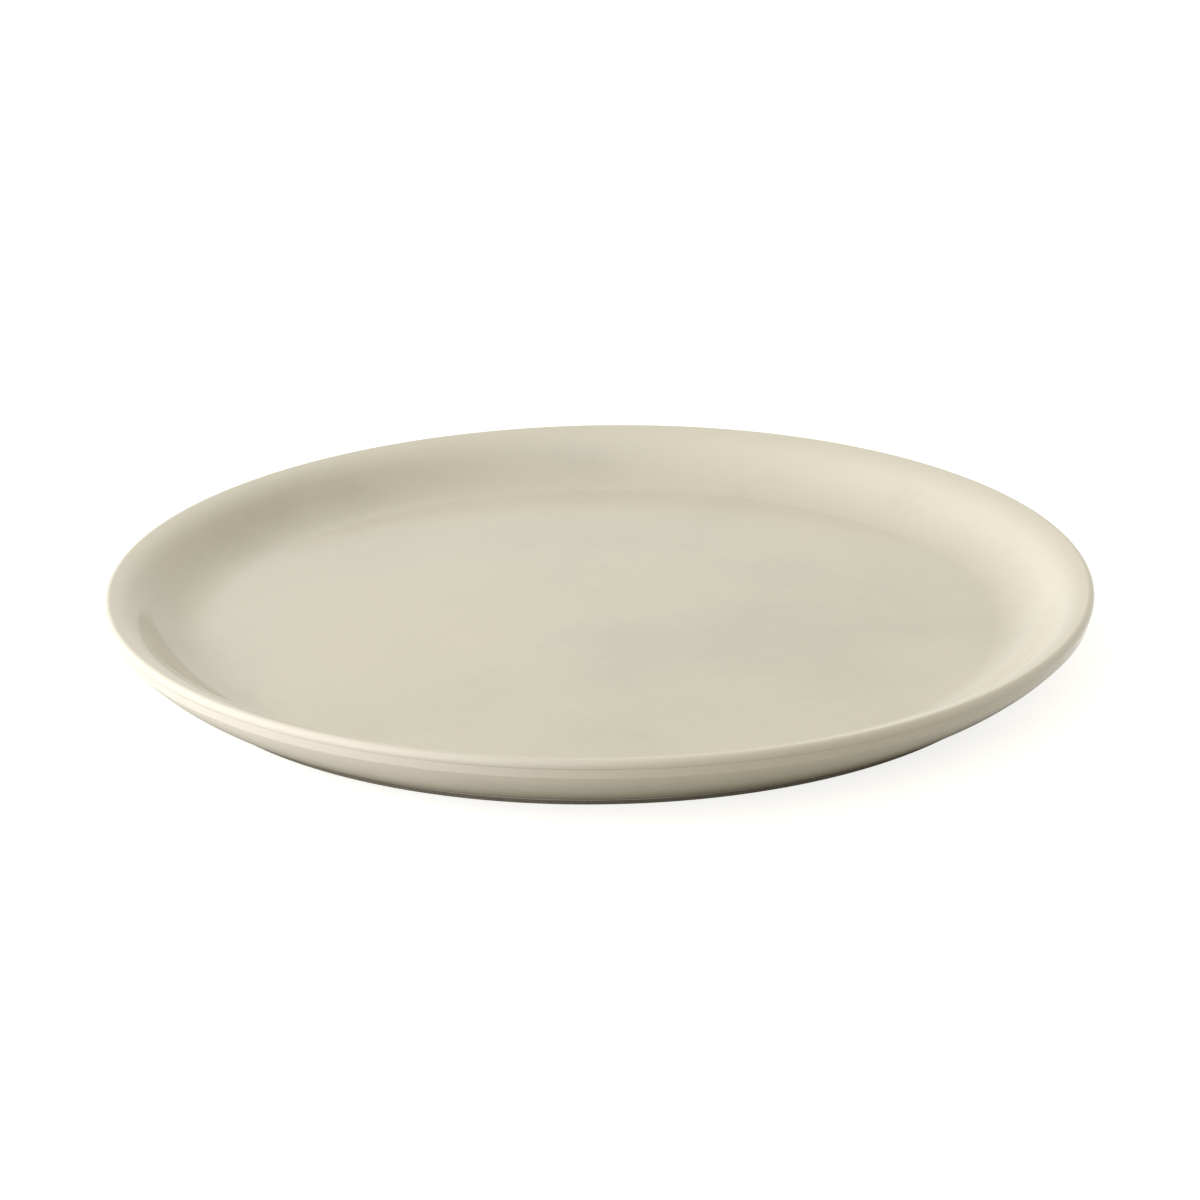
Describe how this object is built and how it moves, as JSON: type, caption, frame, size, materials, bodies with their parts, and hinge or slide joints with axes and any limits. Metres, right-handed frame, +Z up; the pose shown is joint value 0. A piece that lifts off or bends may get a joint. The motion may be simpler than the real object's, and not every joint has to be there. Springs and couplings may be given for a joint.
{
  "type": "pizza plate",
  "caption": "Round coupe pizza plate in glossy cream glaze: a wide flat well, a short curved wall, a rounded lip and a low bare foot ring, for serving a whole pizza.",
  "frame": {"origin": "centre of the plate on the surface that its foot ring stands on", "axes": "+Z up out of the well, along the axis that the plate is turned about; +X and +Y lie on the surface"},
  "size_m": [0.32, 0.32, 0.0214],
  "materials": {
    "fired_clay": "matte",
    "cream_glaze": "gloss"
  },
  "bodies": {
    "root": {"clay_body": "fired_clay", "glaze_coat": "cream_glaze", "base_glaze": "cream_glaze"}
  },
  "joints": []
}
